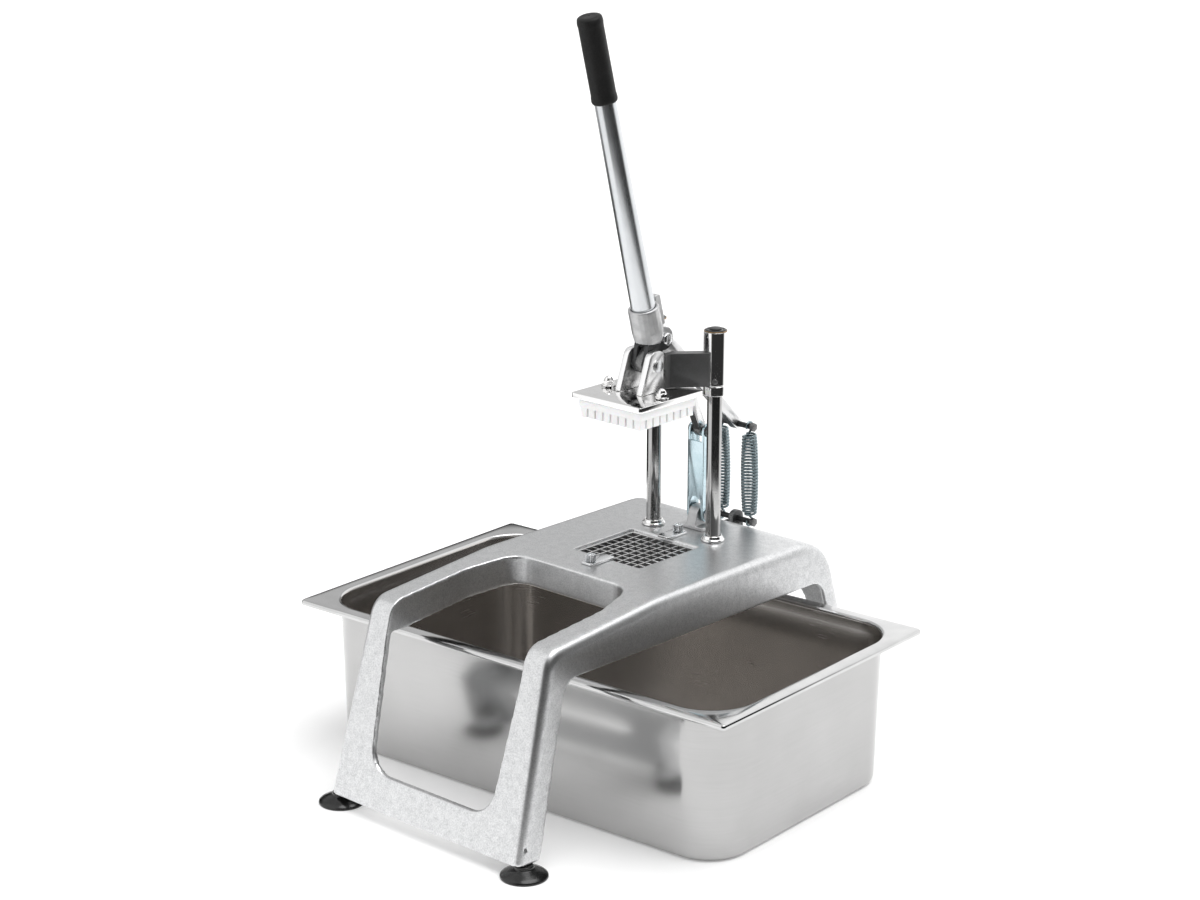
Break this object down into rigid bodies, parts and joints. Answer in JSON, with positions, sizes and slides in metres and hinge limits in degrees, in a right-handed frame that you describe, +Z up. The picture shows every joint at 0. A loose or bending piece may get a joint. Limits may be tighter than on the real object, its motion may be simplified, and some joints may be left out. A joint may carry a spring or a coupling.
{
  "type": "vegetable dicer",
  "caption": "Hand-lever vegetable dicer: toothed pusher on twin columns over a square blade grid, on a cast bridge stand straddling a removable pan.",
  "frame": {"origin": "bottom centre of the whole object, on the surface it stands on", "axes": "+Z up, +X along the long side of the pan, +Y from the front feet towards the columns and springs"},
  "size_m": [0.549, 0.5326, 0.752],
  "materials": {
    "cast_aluminium": "tumbled cast aluminium, satin with bright rubbed edges",
    "cast_grey": "matte zinc-plated casting",
    "chrome": "polished chrome plating",
    "zinc": "bright zinc-plated steel",
    "black_steel": "blackened steel, semi-gloss",
    "stainless": "bright annealed stainless sheet",
    "rubber": "black moulded rubber",
    "black_plastic": "black acetal",
    "white_plastic": "white food-grade plastic"
  },
  "bodies": {
    "stand": {"base_frame": "cast_aluminium", "foot_front_left": "rubber", "foot_front_right": "rubber", "foot_rear_left": "rubber", "foot_rear_right": "rubber", "foot_stud_front_left": "zinc", "foot_stud_front_right": "zinc", "foot_stud_rear_left": "zinc", "foot_stud_rear_right": "zinc", "column_left": "chrome", "column_right": "chrome", "column_cap_left": "black_plastic", "column_cap_right": "black_plastic", "column_collar_left": "chrome", "column_collar_right": "chrome", "column_nut_left": "zinc", "column_nut_right": "zinc", "blade_frame": "stainless", "blade_grid": "stainless", "clamp_tab_front": "zinc", "clamp_tab_rear": "zinc", "link_lug": "cast_grey", "link_pin_lower": "zinc", "spring_bracket": "black_steel", "spring_pin_lower": "black_steel", "spring_left": "zinc", "spring_right": "zinc"},
    "carriage": {"sleeve_left": "chrome", "sleeve_right": "chrome", "bush_upper_left": "black_plastic", "bush_upper_right": "black_plastic", "bush_lower_left": "black_plastic", "bush_lower_right": "black_plastic", "sleeve_screw_left": "zinc", "sleeve_screw_right": "zinc", "cheek_left": "chrome", "cheek_right": "chrome", "carriage_arm_left": "black_steel", "carriage_arm_right": "black_steel", "pusher_stud_left": "chrome", "pusher_stud_right": "chrome", "pusher_plate": "chrome", "pusher": "white_plastic", "pivot_pin": "zinc"},
    "lever": {"crank_plate": "black_steel", "handle_socket": "cast_grey", "crank_bolt": "zinc", "handle_tube": "zinc", "grip": "rubber", "spring_pin_upper": "black_steel"},
    "link": {"link_channel": "zinc", "link_stub_left": "black_steel", "link_stub_right": "black_steel"},
    "spring_hooks": {"spring_hook_left": "zinc", "spring_hook_right": "zinc"},
    "pan": {"gastronorm_pan": "stainless"},
    "front_clamp_screw": {"clamp_screw_front": "zinc"},
    "rear_clamp_screw": {"clamp_screw_rear": "zinc"}
  },
  "joints": [
    {"name": "press", "type": "slide", "parent": "stand", "child": "carriage", "axis": [0, 0, -1], "range_m": [0, 0.143], "stiffness_N_per_m": 500, "springref_m": -0.14},
    {"name": "lever_swing", "type": "hinge", "parent": "carriage", "child": "lever", "pos_m": [0.0091, 0.05525, 0.404], "axis": [1, 0, 0], "range_deg": [0, 72.11]},
    {"name": "link_swing", "type": "hinge", "parent": "stand", "child": "link", "pos_m": [0.0091, 0.14025, 0.231], "axis": [1, 0, 0], "range_deg": [-14.34, 0]},
    {"name": "spring_stretch", "type": "slide", "parent": "stand", "child": "spring_hooks", "axis": [0, -0.2155, 0.9765], "range_m": [0, 0.05361], "deforming": ["spring_left", "spring_right"]},
    {"name": "pan_slide", "type": "slide", "parent": "stand", "child": "pan", "axis": [0.998, 0.0628, 0], "range_m": [-0.375, 0.405]},
    {"name": "front_clamp_turn", "type": "hinge", "parent": "stand", "child": "front_clamp_screw", "pos_m": [0.0091, -0.02225, 0.217], "axis": [0, 0, 1], "continuous": true},
    {"name": "rear_clamp_turn", "type": "hinge", "parent": "stand", "child": "rear_clamp_screw", "pos_m": [0.0091, 0.10725, 0.217], "axis": [0, 0, 1], "continuous": true}
  ],
  "couplings": [
    {"joint": "lever_swing", "follows": "press", "rad_per_m": 8.7945},
    {"joint": "link_swing", "follows": "press", "rad_per_m": -1.7442},
    {"joint": "spring_stretch", "follows": "press", "ratio": 0.37421}
  ]
}
